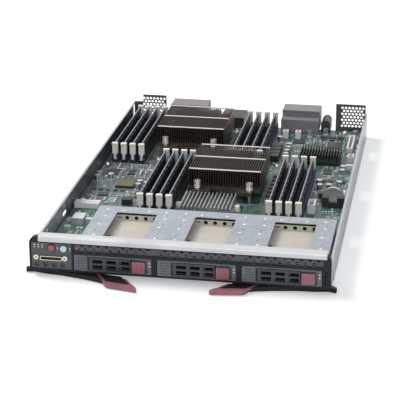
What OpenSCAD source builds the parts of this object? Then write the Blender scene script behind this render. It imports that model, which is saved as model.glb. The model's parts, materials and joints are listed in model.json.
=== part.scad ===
// Full-height blade server module, cover removed, lying flat.
// Frame: origin at the centre of the bottom face, +X to the right of the front
// panel, -Y towards the front panel, +Z up. Millimetres.

/* [Tray] */
// Width of the blade over the two side walls
blade_w = 287.6; // [287:0.1:290]
// Length from the front face to the rear plates
blade_l = 462; // [460:0.5:470]
// Sheet thickness of the tray and the cage
sheet = 0.8; // [0.8:0.1:0.9]
// Height of the side walls
wall_h = 29; // [27:0.5:31]
// Width of the rolled hem along the top of each side wall
hem_w = 2.4; // [1.6:0.1:3]
// Height of the underside of the front shelf, the room the ejector handles swing in
shelf_under = 5.2; // [5.2:0.1:5.3]
// Depth of the handle recess under the front shelf
recess_d = 34; // [32:0.5:36]
// Height of the low flange along the rear edge
rear_flange_h = 6; // [4:0.5:6.2]
// Height of the rear vent plates above the floor
vent_top = 40; // [36:0.5:41]
// Diameter of the vent holes in the rear plates
vent_hole_d = 3; // [2:0.1:3.2]
// Spacing of the vent holes in the rear plates
vent_pitch = 4.2; // [4.2:0.1:5]

/* [Front panel] */
// Height of the underside of the front bezel
bezel_z0 = 6; // [6:0.1:6.2]
// Height of the bezel end ears
bezel_top = 40; // [39:0.5:40.5]
// Depth of the bezel frame from front to back
bezel_d = 6; // [5:0.5:6]
// Radius of the upper corners of the bezel
bezel_r = 7; // [4:0.5:8]
// Height of the top of the silver lip
lip_top = 41; // [40.5:0.1:42]
// Height of the silver lip itself
lip_h = 5.8; // [5:0.1:5.8]
// Depth of the silver lip from front to back
lip_d = 9.5; // [8:0.5:12]
// Width of the control panel at the left end
panel_w = 39.4; // [39:0.1:39.4]
// Diameter of the power button
power_d = 6.4; // [5:0.1:7]
// Diameter of the console button
console_d = 6.0; // [5:0.1:7]
// Travel of the two front panel buttons
press_travel = 1.2; // [0.8:0.1:1.3]
// Distance between the two jackscrews of the console connector
jack_pitch = 28.1; // [27:0.1:28.5]
// Diameter of the jackscrew bodies
jack_d = 4.8; // [4:0.1:5]
// Thread bore of the jackscrews
jack_bore = 2.5; // [2:0.1:3]
// Spacing of the intake holes in the grille
grille_pitch = 8; // [7.5:0.1:9]
// Diameter of the intake holes in the grille
grille_hole_d = 3.5; // [2.5:0.1:3.8]

/* [Drive bays] */
// Distance between neighbouring drive bays
bay_pitch = 80.4; // [80.4:0.1:80.6]
// Centre of the first drive bay from the left side
bay_x0 = 80.8; // [80.7:0.1:80.9]
// Width of one drive carrier
carrier_w = 75; // [74.5:0.1:75.5]
// Height of one drive carrier face
carrier_h = 16; // [15.5:0.1:16.2]
// Height of the underside of the drive carriers
carrier_z0 = 7.7; // [7.7:0.1:7.8]
// Length of a drive carrier behind the front face
carrier_l = 108; // [100:1:110]
// Width of a 2.5 inch drive or drive blank
drive_w = 69.85; // [69:0.05:70]
// Length of the drive blank
blank_l = 96; // [90:0.5:97]
// Height of the top of the drive cage
cage_top = 26.5; // [26:0.1:26.6]
// Rear edge of the drive cage from the front face
cage_l = 123; // [121:0.5:124]
// Width of the windows in the top of the cage
window_w = 41; // [36:0.5:44]
// Thickness of the carrier release lever
lever_t = 3; // [2.4:0.1:3.2]
// Diameter of the lever hinge pin
lever_pin_d = 2; // [1.6:0.1:2]
// Travel of the carrier release button
release_travel = 1.5; // [1:0.1:1.5]

/* [Ejector handles] */
// Distance of the handle pivots from the side of the blade
pivot_x = 9.5; // [9:0.1:10]
// Distance of the handle pivots behind the front face
pivot_y = 13; // [12.5:0.1:13.5]
// Diameter of the handle pivot pins
pivot_d = 4.9; // [4:0.1:5.2]
// Thickness of the handles
handle_t = 4.2; // [4:0.1:4.2]
// Angle the left handle stands open
open_left = 11.5; // [0:0.5:20]
// Angle the right handle stands open
open_right = 7.6; // [0:0.2:20]
// Squeeze travel of the coloured trigger in each handle
squeeze_travel = 3; // [2:0.1:3]

/* [Boards] */
// Thickness of the system board
board_t = 1.6; // [1.6:0.1:1.8]
// Height of the top of the system board
board_top = 8; // [8:0.1:8.1]
// Diameter of the standoffs under the boards
standoff_d = 6; // [5:0.1:6.5]
// Height of the top of the processor heatsinks
fin_top = 38; // [34:0.5:39]
// Thickness of a processor heatsink fin
fin_t = 0.6; // [0.4:0.1:0.8]
// Number of fins on a processor heatsink
fin_count = 30; // [20:1:32]

/* [Memory] */
// Distance between neighbouring memory sockets
dimm_pitch = 10.16; // [9.5:0.01:10.4]
// Length of a memory module
dimm_l = 133.35; // [133:0.05:133.5]
// Height of a very low profile memory module
dimm_h = 18.75; // [17.9:0.05:19]
// Thickness of the memory module board
dimm_t = 1.27; // [1:0.01:1.4]
// Height of the latch tops above the system board
latch_h = 23; // [22:0.5:24]
// Diameter of the latch pivot
latch_pin_d = 2; // [1.6:0.1:2.2]

/* [Hidden] */
$fn = 48;
gap = 0.1;
slide_gap = 0.2;
slant = -1.03;
pin_gap = 0.05;
shelf_top = shelf_under + sheet;
board_z0 = board_top - board_t;
hem_t = 0.8;
panel_x0 = 1.8;
panel_z0 = 7.6;
panel_z1 = 34.1;
panel_t = 4.2;
panel_y0 = 0.8;
power_x = 21.7;
console_x = 33.6;
button_z = 29.2;
jack_x0 = 7.1;
jack_z = 20;
lip_x0 = 9;
lip_x1 = blade_w - 4;
lip_z0 = lip_top - lip_h;
grille_x0 = 43;
grille_x1 = blade_w - 7;
grille_z0 = 26.8;
grille_z1 = 34.2;
carrier_z1 = carrier_z0 + carrier_h;
face_y = 0.6;
web_y0 = 4;
web_y1 = 7;
release_t = web_y0 - release_travel - gap;
switch_y = panel_y0 + panel_t + 1.4 + press_travel + 0.4;
blank_y1 = 108.2;
blank_y0 = blank_y1 - blank_l;
cage_y0 = 8;
cage_x0 = bay_x0 - bay_pitch / 2 - sheet / 2;
cage_x1 = bay_x0 + 2.5 * bay_pitch + sheet / 2;
cage_z0 = shelf_top;
lever_x = bay_x0 - 22.1;
lever_y = 2.3;
lever_z0 = 8.6;
lever_z1 = 21.6;
lever_len = 39.6;
handle_z0 = 0.6;
handle_z1 = handle_z0 + handle_t;
cpu_front = [153.6, 254];
cpu_rear = [92.6, 388];
sink_w = 77;
sink_y_front = -41;
sink_y_rear = 41;
sink_z0 = 15.5;
sink_base = 4;
screw_dx = 28;
banks = [[75, 155], [209.5, 155], [13.5, 307.5], [148.3, 307.5]];
socket_w = 6.4;
socket_h = 7;
module_z0 = board_top + 4;
module_z1 = module_z0 + dimm_h;
latch_z1 = board_top + latch_h;
latch_pin_z = board_top + 4.5;
latch_y = 2.4;
conn_y1 = 480;
standoffs = [
    [50, 134], [279, 140], [6, 182], [118, 206], [200, 206], [279, 250],
    [60, 320], [196, 320], [6, 296], [281.5, 400], [134, 436], [20, 452], [262, 450]
];
io_standoffs = [[6, 44], [36, 44], [36, 150]];

// Centre of a drive bay, counted from the left.
function bay_x(i) = bay_x0 + i * bay_pitch;

// Shifts a part drawn from the front left corner into the shared frame.
module in_frame() {
    translate([-blade_w / 2, -blade_l / 2, 0]) children();
}

// Box given by its two corners.
module block(a, b) {
    translate(a) cube([b[0] - a[0], b[1] - a[1], b[2] - a[2]]);
}

// Extrudes a face drawn in X and Z from y0 back to y1.
module face_extrude(y0, y1) {
    translate([0, y1, 0]) rotate([90, 0, 0]) linear_extrude(y1 - y0) children();
}

// Extrudes a side profile drawn in Y and Z from x0 to x1.
module side_extrude(x0, x1) {
    translate([x0, 0, 0]) rotate([90, 0, 90]) linear_extrude(x1 - x0) children();
}

// Cylinder lying along Y.
module y_rod(x, z, y0, y1, d) {
    translate([x, y1, z]) rotate([90, 0, 0]) cylinder(h = y1 - y0, d = d);
}

// Flat rectangle with round corners.
module round_rect(x0, z0, x1, z1, r) {
    union() {
        translate([x0 + r, z0]) square([x1 - x0 - 2 * r, z1 - z0]);
        translate([x0, z0 + r]) square([x1 - x0, z1 - z0 - 2 * r]);
        for (x = [x0 + r, x1 - r], z = [z0 + r, z1 - r]) translate([x, z]) circle(r);
    }
}

// ---------------------------------------------------------------- tray

module chassis_tray() {
    color("#a9adb2") in_frame() difference() {
        union() {
            block([0, recess_d, 0], [blade_w, blade_l, sheet]);
            block([0, bezel_d, shelf_under], [blade_w, recess_d + sheet, shelf_top]);
            block([0, recess_d, 0], [blade_w, recess_d + sheet, shelf_top]);
            block([0, bezel_d, 0], [sheet, blade_l, wall_h]);
            block([blade_w - sheet, bezel_d, 0], [blade_w, blade_l, wall_h]);
            block([0, bezel_d, wall_h - hem_t], [hem_w, blade_l, wall_h]);
            block([blade_w - hem_w, bezel_d, wall_h - hem_t], [blade_w, blade_l, wall_h]);
            block([0, blade_l - sheet, 0], [blade_w, blade_l, rear_flange_h]);
        }
        // room for the cam hooks of the handles
        for (x = [-1, blade_w - sheet - 1])
            block([x, 0, -1], [x + sheet + 2, recess_d, shelf_under]);
        // pivot bores
        for (x = [pivot_x, blade_w - pivot_x])
            translate([x, pivot_y, shelf_under - 1]) cylinder(h = sheet + 2, d = pivot_d);
        // guide slots in the walls that run in the enclosure rails
        for (x = [-1, blade_w - sheet - 1], y = [120, 250, 380])
            side_extrude(x, x + sheet + 2) round_rect(y, 12, y + 30, 16, 1.9);
        // screw holes for the cover
        for (x = [-1, blade_w - sheet - 1], y = [60, 200, 330, 430])
            translate([x, y, 22]) rotate([0, 90, 0]) cylinder(h = sheet + 2, d = 3.2);
        // drain and fixing slots in the floor
        for (x = [70, 144, 218], y = [70, 190, 310, 420])
            translate([0, 0, -1]) linear_extrude(sheet + 2) round_rect(x - 12, y, x + 12, y + 4, 1.9);
    }
}

module vent_plate(x0, x1, step_x, step_z) {
    difference() {
        union() {
            block([x0, blade_l - 2 * sheet, sheet], [x1, blade_l - sheet, vent_top]);
            block([x0, blade_l - 6, sheet], [x1, blade_l - sheet, 2 * sheet]);
        }
        if (step_x > x0)
            block([x0 - 1, blade_l - 4, step_z], [step_x, blade_l + 1, vent_top + 1]);
        for (row = [0:6], col = [0:6])
            if (col < 6 || row % 2 == 0)
                y_rod(x1 - 30.5 + vent_pitch * (col + (row % 2) / 2) + 2.6, 13 + row * vent_pitch * 0.9,
                      blade_l - 4, blade_l + 1, vent_hole_d);
    }
}

module rear_vent_plates() {
    color("#3a3d42") in_frame() {
        vent_plate(2, 42, 13, 31);
        vent_plate(250, blade_w - 2, 0, 0);
    }
}

// ---------------------------------------------------------------- front panel

module bezel_face() {
    difference() {
        union() {
            round_rect(0, bezel_z0 + 4, blade_w, bezel_top, bezel_r);
            translate([0, bezel_z0]) square([blade_w, 16]);
        }
        translate([lip_x0, lip_z0]) square([lip_x1 - lip_x0, lip_h + 2]);
        translate([panel_x0 - gap, panel_z0 - gap])
            square([panel_w + 2 * gap, panel_z1 - panel_z0 + 2 * gap]);
        translate([grille_x0, grille_z0]) square([grille_x1 - grille_x0, grille_z1 - grille_z0]);
        for (i = [0:2])
            translate([bay_x(i) - carrier_w / 2 - 0.5, carrier_z0 - 0.3])
                square([carrier_w + 1, carrier_h + 0.8]);
        translate([blade_w - 5.6, 10]) square([1.8, 14]);
    }
}

module front_bezel() {
    color("#1d1f23") in_frame() difference() {
        face_extrude(0, bezel_d) bezel_face();
        // step behind the grille opening that the grille plate lies in
        block([grille_x0 - 1, 2, grille_z0 - 1], [grille_x1 + 1, bezel_d + 1, grille_z1 + 0.5]);
    }
}

module front_grille() {
    color("#2b2e33") in_frame() difference() {
        block([grille_x0 - 0.9, 2, grille_z0 - 0.9], [grille_x1 + 0.9, 2 + sheet, grille_z1 + 0.4]);
        for (bay = [0:2], col = [0:8], row = [0:1])
            y_rod(bay_x(bay) - 34 + grille_pitch * (col + row / 2), 28.9 + row * 3.9, 0, 6, grille_hole_d);
    }
}

module lip_profile() {
    r = 2.4;
    difference() {
        union() {
            translate([r, lip_z0]) square([lip_d - r, lip_h]);
            translate([0, lip_z0]) square([r + 0.5, lip_h - r]);
            translate([r, lip_top - r]) circle(r);
        }
        translate([1.2, lip_z0 - 1]) square([lip_d, lip_h - 0.2]);
    }
}

module top_lip() {
    color("#d9dadc") in_frame() {
        side_extrude(lip_x0, lip_x1) lip_profile();
        for (x = [lip_x0, lip_x1 - 1.2])
            block([x, 1.2, lip_z0], [x + 1.2, lip_d, lip_top - 1]);
        // fixing tongue that runs back onto the cage
        for (i = [0:2]) {
            block([bay_x(i) - 6, lip_d - 1, cage_top], [bay_x(i) + 6, lip_d, lip_top - 1]);
            block([bay_x(i) - 6, lip_d - 1, cage_top], [bay_x(i) + 6, lip_d + 8, cage_top + 1]);
        }
    }
}

module control_panel() {
    color("#2f3237") in_frame() difference() {
        block([panel_x0, panel_y0, panel_z0], [panel_x0 + panel_w, panel_y0 + panel_t, panel_z1]);
        y_rod(power_x, button_z, -1, 9, power_d + 2 * gap);
        y_rod(console_x, button_z, -1, 9, console_d + 2 * gap);
        y_rod(power_x, button_z, 0, panel_y0 + 0.7, power_d + 2.2);
        y_rod(console_x, button_z, 0, panel_y0 + 0.7, console_d + 2.2);
        // console connector opening and jackscrew bores
        face_extrude(-1, 9)
            round_rect(jack_x0 + 3.2, jack_z - 3.8, jack_x0 + jack_pitch - 3.2, jack_z + 0.9, 1.2);
        for (x = [jack_x0, jack_x0 + jack_pitch]) y_rod(x, jack_z, -1, 9, jack_d);
        // status light pockets
        for (x = [5, 9, 12.8, 27.6, 39.6]) y_rod(x, x < 20 ? 31.6 : button_z, 0, 9, 1.6);
        // plain intake slots below the connector
        for (i = [0:3]) block([5 + i * 8.4, -1, 9.6], [9.2 + i * 8.4, 2.6, 13.6]);
    }
}

module press_button(x, d) {
    y_rod(x, button_z, -0.9, panel_y0 + panel_t + 1.4, d);
    y_rod(x, button_z, panel_y0 + panel_t, panel_y0 + panel_t + 1, d + 2);
}

module power_button() {
    color("#b5475c") in_frame() difference() {
        press_button(power_x, power_d);
        y_rod(power_x, button_z, -2, -0.6, power_d - 1.8);
    }
}

module console_button() {
    color("#a9d6ea") in_frame() difference() {
        press_button(console_x, console_d);
        y_rod(console_x, button_z, -2, -0.6, console_d - 3.2);
    }
}

module console_connector() {
    color("#c9b98f") in_frame() {
        difference() {
            union() {
                face_extrude(-0.4, 7)
                    round_rect(jack_x0 + 3.4, jack_z - 3.6, jack_x0 + jack_pitch - 3.4, jack_z + 0.7, 1);
                block([jack_x0 - 2.6, 7, board_top], [jack_x0 + jack_pitch + 2.6, 16, jack_z + 3]);
            }
            face_extrude(-2, 5)
                round_rect(jack_x0 + 4.1, jack_z - 2.9, jack_x0 + jack_pitch - 4.1, jack_z, 0.6);
            block([jack_x0 + 1, 12, board_top - 1], [jack_x0 + jack_pitch - 1, 17, jack_z - 5]);
        }
        block([jack_x0 + 5.2, 1, jack_z - 1.8], [jack_x0 + jack_pitch - 5.2, 6, jack_z - 1.1]);
    }
}

module jackscrews() {
    color("#e8e6e0") in_frame() for (x = [jack_x0, jack_x0 + jack_pitch])
        difference() {
            y_rod(x, jack_z, -2.4, 7, jack_d);
            y_rod(x, jack_z, -3, 4, jack_bore);
        }
}

module io_board() {
    color("#1f8a5f") in_frame() difference() {
        block([1.6, 7, board_z0], [40, 162.4, board_top]);
        for (p = io_standoffs) translate([p[0], p[1], 0]) cylinder(h = 20, d = 3.2);
    }
}

module io_board_parts() {
    color("#cfd2d4") in_frame() {
        // button switches standing on posts
        for (x = [power_x, console_x]) {
            block([x - 3, switch_y, 23.4], [x + 3, switch_y + 4, 32]);
            block([x - 3, switch_y + 8.2, board_top], [x + 3, switch_y + 9.2, 32]);
            block([x - 3, switch_y + 4, 23.4], [x + 3, switch_y + 8.2, 24.4]);
        }
        // board headers, a shielded part and small chips
        block([12, 112, board_top], [24, 128, board_top + 7]);
        block([25.5, 116, board_top], [33, 122, board_top + 5]);
        block([5, 118, board_top], [10, 123, board_top + 3]);
        block([8, 96, board_top], [14, 101, board_top + 4]);
        for (i = [0:4]) block([34.6, 100 + i * 10, board_top], [38, 105 + i * 10, board_top + 1.2]);
        for (i = [0:3]) block([7 + i * 5, 134, board_top], [9.4 + i * 5, 136.6, board_top + 1]);
        block([8, 60, board_top], [22, 74, board_top + 1.4]);
        block([26, 62, board_top], [36, 72, board_top + 1.4]);
    }
}

// ---------------------------------------------------------------- drive bays

module drive_cage() {
    color("#c3cad3") in_frame() difference() {
        union() {
            block([cage_x0, cage_y0, cage_top - sheet], [cage_x1, cage_l, cage_top]);
            block([cage_x0, cage_y0, cage_z0], [cage_x1, cage_l, cage_z0 + sheet]);
            // upright walls between the bays with legs down to the floor at the rear
            for (x = [for (i = [0:3]) cage_x0 + i * bay_pitch]) {
                block([x, cage_y0, cage_z0], [x + sheet, cage_l, cage_top]);
                block([x, cage_l - 20, sheet], [x + sheet, cage_l, cage_z0 + 1]);
            }
            // runners under each carrier and guides beside it
            for (i = [0:2], s = [-1, 1]) {
                block([bay_x(i) + s * 31 - 1.5, cage_y0 + 2, cage_z0 + sheet - 0.1],
                      [bay_x(i) + s * 31 + 1.5, cage_l - 8, carrier_z0 - slide_gap]);
                block([bay_x(i) + s * 38.75 - 1.05, cage_y0 + 2, 10],
                      [bay_x(i) + s * 38.75 + 1.05, cage_l - 12, 14]);
            }
            // embossed rivet heads on the top
            for (y = [34, 58, 82, 106], i = [0:3], s = [-9, 9])
                if (i * 3 + sign(s) >= 1 && i * 3 + sign(s) <= 8)
                    translate([cage_x0 + i * bay_pitch + s, y, cage_top - 0.2])
                        cylinder(h = 0.9, d1 = 4.4, d2 = 3);
        }
        // windows above the drives
        for (i = [0:2])
            translate([bay_x(i) + 1, 0, cage_top - 3]) linear_extrude(6)
                round_rect(-window_w / 2, 24, window_w / 2, 107.4, 1.5);
        // air slots through the bottom
        for (i = [0:2], y = [40, 66, 92])
            translate([0, 0, cage_z0 - 1]) linear_extrude(3)
                round_rect(bay_x(i) - 20, y, bay_x(i) + 20, y + 8, 2);
    }
}

module drive_backplane() {
    color("#1e6b50") in_frame() difference() {
        block([cage_x0 + sheet, 118.6, cage_z0 + sheet], [cage_x1 - sheet, 120.2, cage_top - sheet]);
        for (x = [for (i = [1, 2]) cage_x0 + i * bay_pitch])
            block([x - gap, 118, cage_z0], [x + sheet + gap, 121, cage_top]);
        for (i = [0:2], s = [-1, 1])
            y_rod(bay_x(i) + s * 28, 17, 118, 121, 8);
    }
}

module drive_receptacles() {
    color("#22252a") in_frame() for (i = [0:2]) difference() {
        block([bay_x(i) - 17, 111.5, 11], [bay_x(i) + 17, 118.6, 17.5]);
        block([bay_x(i) - 15.4, 110, 13.2], [bay_x(i) + 15.4, 117, 15]);
    }
}

module carrier(i) {
    cx = bay_x(i);
    x0 = cx - carrier_w / 2;
    x1 = cx + carrier_w / 2;
    rail = (carrier_w - drive_w) / 2 - 0.15;
    color("#4a4f56") in_frame() difference() {
        union() {
            // web behind the face
            block([x0, web_y0, carrier_z0], [x1, web_y1, carrier_z1]);
            // ribbed grip at the left and plain end at the right
            block([x0, face_y, carrier_z0], [x0 + 13, web_y0, carrier_z1]);
            block([x1 - 5, face_y, carrier_z0], [x1, web_y0, carrier_z1]);
            // lower sill and upper hood of the face
            block([x0, face_y, carrier_z0], [x1, web_y0, lever_z0 - 0.3]);
            block([x0, face_y + 1, lever_z1 + 0.3], [x1, web_y0, carrier_z1]);
            // side rails with ledges below the drive
            for (x = [x0, x1 - rail])
                block([x, web_y1 - 1, carrier_z0], [x + rail, web_y1 + carrier_l, carrier_z0 + 11]);
            for (x = [x0, x1 - 8])
                block([x, web_y1 - 1, carrier_z0], [x + 8, web_y1 + carrier_l, carrier_z0 + 1]);
            block([x0, blank_y1 - 14, carrier_z0], [x1, blank_y1 - 4, carrier_z0 + 1]);
            block([x0, 40, carrier_z0], [x1, 48, carrier_z0 + 1]);
            // hinge pin of the lever
            translate([lever_x + i * bay_pitch, lever_y, carrier_z0 + 0.1])
                cylinder(h = carrier_h - 0.2, d = lever_pin_d);
        }
        // ribs cut in the grip
        for (k = [0:4]) block([x0 + 3, -1, 9.6 + k * 2.7], [x0 + 12, face_y + 0.7, 10.7 + k * 2.7]);
        // air windows behind the lever windows
        for (k = [0:2]) block([x0 + 18 + k * 13.6, 3, 9.4], [x0 + 28.4 + k * 13.6, 9, 20.4]);
        // button guide
        block([x1 - 16.6, 3, 11.2], [x1 - 8.8, 9, 17.8]);
        // dark release slot beside the button
        block([x1 - 5.6, -1, 9.4], [x1 - 3.8, 3, 21]);
        // drive screw holes
        for (y = [30, 90])
            translate([x0 - 1, y, 12.2]) rotate([0, 90, 0]) cylinder(h = carrier_w + 2, d = 3);
    }
}

module carrier_1() { carrier(0); }
module carrier_2() { carrier(1); }
module carrier_3() { carrier(2); }

module drive_blank(i) {
    cx = bay_x(i);
    x0 = cx - drive_w / 2;
    x1 = cx + drive_w / 2;
    z0 = carrier_z0 + 1;
    z1 = 23.8;
    color("#d8cfb8") in_frame() difference() {
        block([x0, blank_y0, z0], [x1, blank_y1, z1]);
        // open dish on top
        block([x0 + 1.6, blank_y0 + 1.6, 18.4], [x1 - 1.6, blank_y1 - 1.8, z1 + 1]);
        // hollow underside with a cross rib
        block([x0 + 1.6, blank_y0 + 1.6, z0 - 1], [x1 - 1.6, 58, 16.8]);
        block([x0 + 1.6, 59.6, z0 - 1], [x1 - 1.6, blank_y1 - 1.8, 16.8]);
        // four vent holes and a slot in the rear wall
        for (k = [0:3]) y_rod(cx - 9.4 + k * 9.6, 21.2, blank_y1 - 4, blank_y1 + 2, 4.2);
        block([cx - 20, blank_y1 - 4, 20.6], [cx - 14.6, blank_y1 + 2, 22]);
        // slot along the left of the floor
        block([x0 + 14.2, 34, 16], [x0 + 17.4, 68, 20]);
        // screw holes in line with the carrier
        for (y = [30, 90])
            translate([x0 - 1, y, 12.2]) rotate([0, 90, 0]) cylinder(h = drive_w + 2, d = 2.6);
    }
}

module drive_blank_1() { drive_blank(0); }
module drive_blank_2() { drive_blank(1); }
module drive_blank_3() { drive_blank(2); }

module carrier_lever(i) {
    hx = lever_x + i * bay_pitch;
    color("#3a3e44") in_frame() difference() {
        union() {
            block([hx, face_y + 0.2, lever_z0], [hx + lever_len, face_y + 0.2 + lever_t, lever_z1]);
            translate([hx, lever_y, lever_z0]) cylinder(h = lever_z1 - lever_z0, r = 1.5);
            // catch tongue at the free end
            block([hx + lever_len - 6, face_y + lever_t - 0.8, 14.1],
                  [hx + lever_len - 3, web_y0 + 2.4, 15.9]);
        }
        // six windows in two rows
        for (k = [0:2]) {
            block([hx + 2.6 + k * 13, -1, 9.8], [hx + 12.2 + k * 13, 6, 14]);
            block([hx + 2.6 + k * 13, -1, 16], [hx + 12.2 + k * 13, 6, 19.4]);
        }
        translate([hx, lever_y, 0]) cylinder(h = 40, d = lever_pin_d + 2 * pin_gap);
    }
}

module carrier_lever_1() { carrier_lever(0); }
module carrier_lever_2() { carrier_lever(1); }
module carrier_lever_3() { carrier_lever(2); }

module carrier_button(i) {
    x1 = bay_x(i) + carrier_w / 2;
    color("#b5475c") in_frame() difference() {
        union() {
            block([x1 - 18.9, 0, 8.9], [x1 - 6.5, release_t, 20.1]);
            block([x1 - 16.4, 2, 11.4], [x1 - 9, 9.2, 17.6]);
            block([x1 - 17.4, web_y1 + gap, 10.6], [x1 - 8, 8.3, 18.4]);
        }
        for (k = [0:3]) block([x1 - 17.2 + k * 2.6, -1, 10.2], [x1 - 16.2 + k * 2.6, 0.5, 18.8]);
    }
}

module carrier_button_1() { carrier_button(0); }
module carrier_button_2() { carrier_button(1); }
module carrier_button_3() { carrier_button(2); }

// ---------------------------------------------------------------- ejector handles

// Outline of a closed left handle seen from above, pivot at the origin.
module handle_outline() {
    polygon([[-6, -7.5], [-13, -10.6], [-14, -7.4], [-7.5, 0.5], [-7.5, 5], [-5, 7.4],
             [4, 8.2], [30, 4.2], [52, 2.4], [81, 2.4], [93.6, -9.9], [66.4, -9.9],
             [62, -8.8], [46, -7.2], [22, -6.6], [8, -8]]);
}

// Slanted strip in the direction the trigger slides; x0 and x1 are measured at y = 0.
module strip(x0, x1, y0, y1) {
    polygon([[x0 + slant * y0, y0], [x1 + slant * y0, y0], [x1 + slant * y1, y1], [x0 + slant * y1, y1]]);
}

module left_handle_shape() {
    difference() {
        translate([0, 0, handle_z0]) linear_extrude(handle_t) handle_outline();
        translate([0, 0, -1]) cylinder(h = 12, d = pivot_d + 2 * pin_gap);
        // rebate for the left side bar of the trigger and room for the right one
        translate([0, 0, handle_z1 - 2.2]) linear_extrude(4) strip(55.8, 59.4, -12, 1.4 + squeeze_travel);
        translate([0, 0, -1]) linear_extrude(8) strip(83.6, 98, -12, 5);
        // groove for the trigger tongue
        translate([0, 0, handle_z0 + 1.2]) linear_extrude(1.8) strip(67.8, 75.2, -12, -4);
        // shallow finger dish on top of the paddle
        translate([0, 0, handle_z1 - 0.5]) linear_extrude(2) strip(62, 81.4, -8.4, 0.8);
    }
}

module left_trigger_shape() {
    union() {
        // front bar
        translate([0, 0, 0.4]) linear_extrude(4.8) strip(56, 87, -17.4, -12.6);
        // side bars
        translate([0, 0, handle_z1 - 2]) linear_extrude(2) strip(56, 59.2, -13, 1.4);
        translate([0, 0, 0.8]) linear_extrude(3.8) strip(83.8, 87, -13, -0.8);
        // guide tongue
        translate([0, 0, handle_z0 + 1.4]) linear_extrude(1.4) strip(68, 75, -13, -7.4);
    }
}

module handle_left() {
    color("#17191c") in_frame() translate([pivot_x, pivot_y, 0]) rotate([0, 0, -open_left])
        left_handle_shape();
}

module handle_right() {
    color("#17191c") in_frame() translate([blade_w - pivot_x, pivot_y, 0]) rotate([0, 0, open_right])
        mirror([1, 0, 0]) left_handle_shape();
}

module trigger_left() {
    color("#a8465a") in_frame() translate([pivot_x, pivot_y, 0]) rotate([0, 0, -open_left])
        left_trigger_shape();
}

module trigger_right() {
    color("#a8465a") in_frame() translate([blade_w - pivot_x, pivot_y, 0]) rotate([0, 0, open_right])
        mirror([1, 0, 0]) left_trigger_shape();
}

module handle_pins() {
    color("#8d9095") in_frame() for (x = [pivot_x, blade_w - pivot_x]) translate([x, pivot_y, 0]) {
        translate([0, 0, 0.1]) cylinder(h = shelf_top - 0.1, d = pivot_d);
        translate([0, 0, 0.1]) cylinder(h = 0.4, d = pivot_d + 4);
    }
}

// ---------------------------------------------------------------- system board

module motherboard() {
    color("#2f6b58") in_frame() difference() {
        union() {
            block([1.6, 163.2, board_z0], [blade_w - 1.6, 456, board_top]);
            block([43.6, 128, board_z0], [blade_w - 1.6, 164, board_top]);
        }
        for (p = standoffs) translate([p[0], p[1], 0]) cylinder(h = 20, d = 3.2);
        // heatsink screw holes
        for (c = [cpu_front, cpu_rear], s = [-1, 1], y = [-48.5, 34.5])
            translate([c[0] + s * screw_dx, c[1] + y, 0]) cylinder(h = 20, d = 3.4);
    }
}

module board_standoffs() {
    color("#b08d4a") in_frame() {
        for (p = standoffs) translate([p[0], p[1], sheet]) difference() {
            cylinder(h = board_z0 - sheet, d = standoff_d);
            translate([0, 0, 1]) cylinder(h = 10, d = 2.5);
        }
        for (p = io_standoffs) translate([p[0], p[1], sheet]) difference() {
            cylinder(h = board_z0 - sheet, d = standoff_d);
            translate([0, 0, 1]) cylinder(h = 10, d = 2.5);
        }
    }
}

module board_screws() {
    color("#d5d6d8") in_frame() for (p = concat(standoffs, io_standoffs))
        translate([p[0], p[1], board_top]) difference() {
            union() {
                translate([0, 0, -4]) cylinder(h = 4, d = 2.5);
                cylinder(h = 1.8, d1 = 6.2, d2 = 4.4);
            }
            for (a = [0, 90]) translate([0, 0, 1.5]) rotate([0, 0, a]) cube([3.2, 0.7, 1.6], center = true);
        }
}

module cpu_sockets() {
    color("#c9c6bd") in_frame() for (c = [cpu_front, cpu_rear]) translate([c[0], c[1], board_top]) {
        difference() {
            translate([-23, -25, 0]) cube([46, 50, 5.4]);
            translate([-18, -18, 1.6]) cube([36, 36, 8]);
        }
        translate([-17.8, -17.8, 1.6]) cube([35.6, 35.6, 3]);
        translate([-16, -16, 4.6]) cube([32, 32, sink_z0 - board_top - 4.6]);
        translate([24.6, -24, 1.6]) cube([1.6, 46, 1.6]);
        translate([22, 20, 1.6]) cube([4.2, 2, 1.6]);
        translate([24.6, -24, 0]) cube([1.6, 2, 3.2]);
    }
}

// Copper processor heatsink with a stack of upright fins.
module cpu_heatsink() {
    step = (sink_w - fin_t) / (fin_count - 1);
    difference() {
        union() {
            translate([-sink_w / 2, -55, sink_z0]) cube([sink_w, 55 + sink_y_rear, sink_base]);
            for (k = [0:fin_count - 1])
                translate([-sink_w / 2 + k * step, sink_y_front, sink_z0 + sink_base - 0.1])
                    cube([fin_t, sink_y_rear - sink_y_front, fin_top - sink_z0 - sink_base + 0.1]);
        }
        // clearance around the rear screws and the base bores
        for (s = [-1, 1]) {
            translate([s * screw_dx - 5.5, 29, sink_z0 + sink_base]) cube([11, 20, 40]);
            for (y = [-48.5, 34.5]) translate([s * screw_dx, y, 0]) cylinder(h = 60, d = 3.6);
        }
        // narrow front tongue between the two front screws
        for (s = [-1, 1])
            translate([s * 37.5 - 6.5, -56, sink_z0 - 1]) cube([13, 12.6, 10]);
        translate([-14, -56, sink_z0 - 1]) cube([28, 12.6, 10]);
    }
}

module cpu_heatsinks() {
    color("#7a5a48") in_frame() for (c = [cpu_front, cpu_rear]) translate([c[0], c[1], 0]) cpu_heatsink();
}

module heatsink_bars() {
    color("#cfcfcf") in_frame() for (c = [cpu_front, cpu_rear], y = [-41, -1.5, 38])
        translate([c[0] - sink_w / 2, c[1] + y, fin_top]) cube([sink_w, 3, 0.7]);
}

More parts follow.
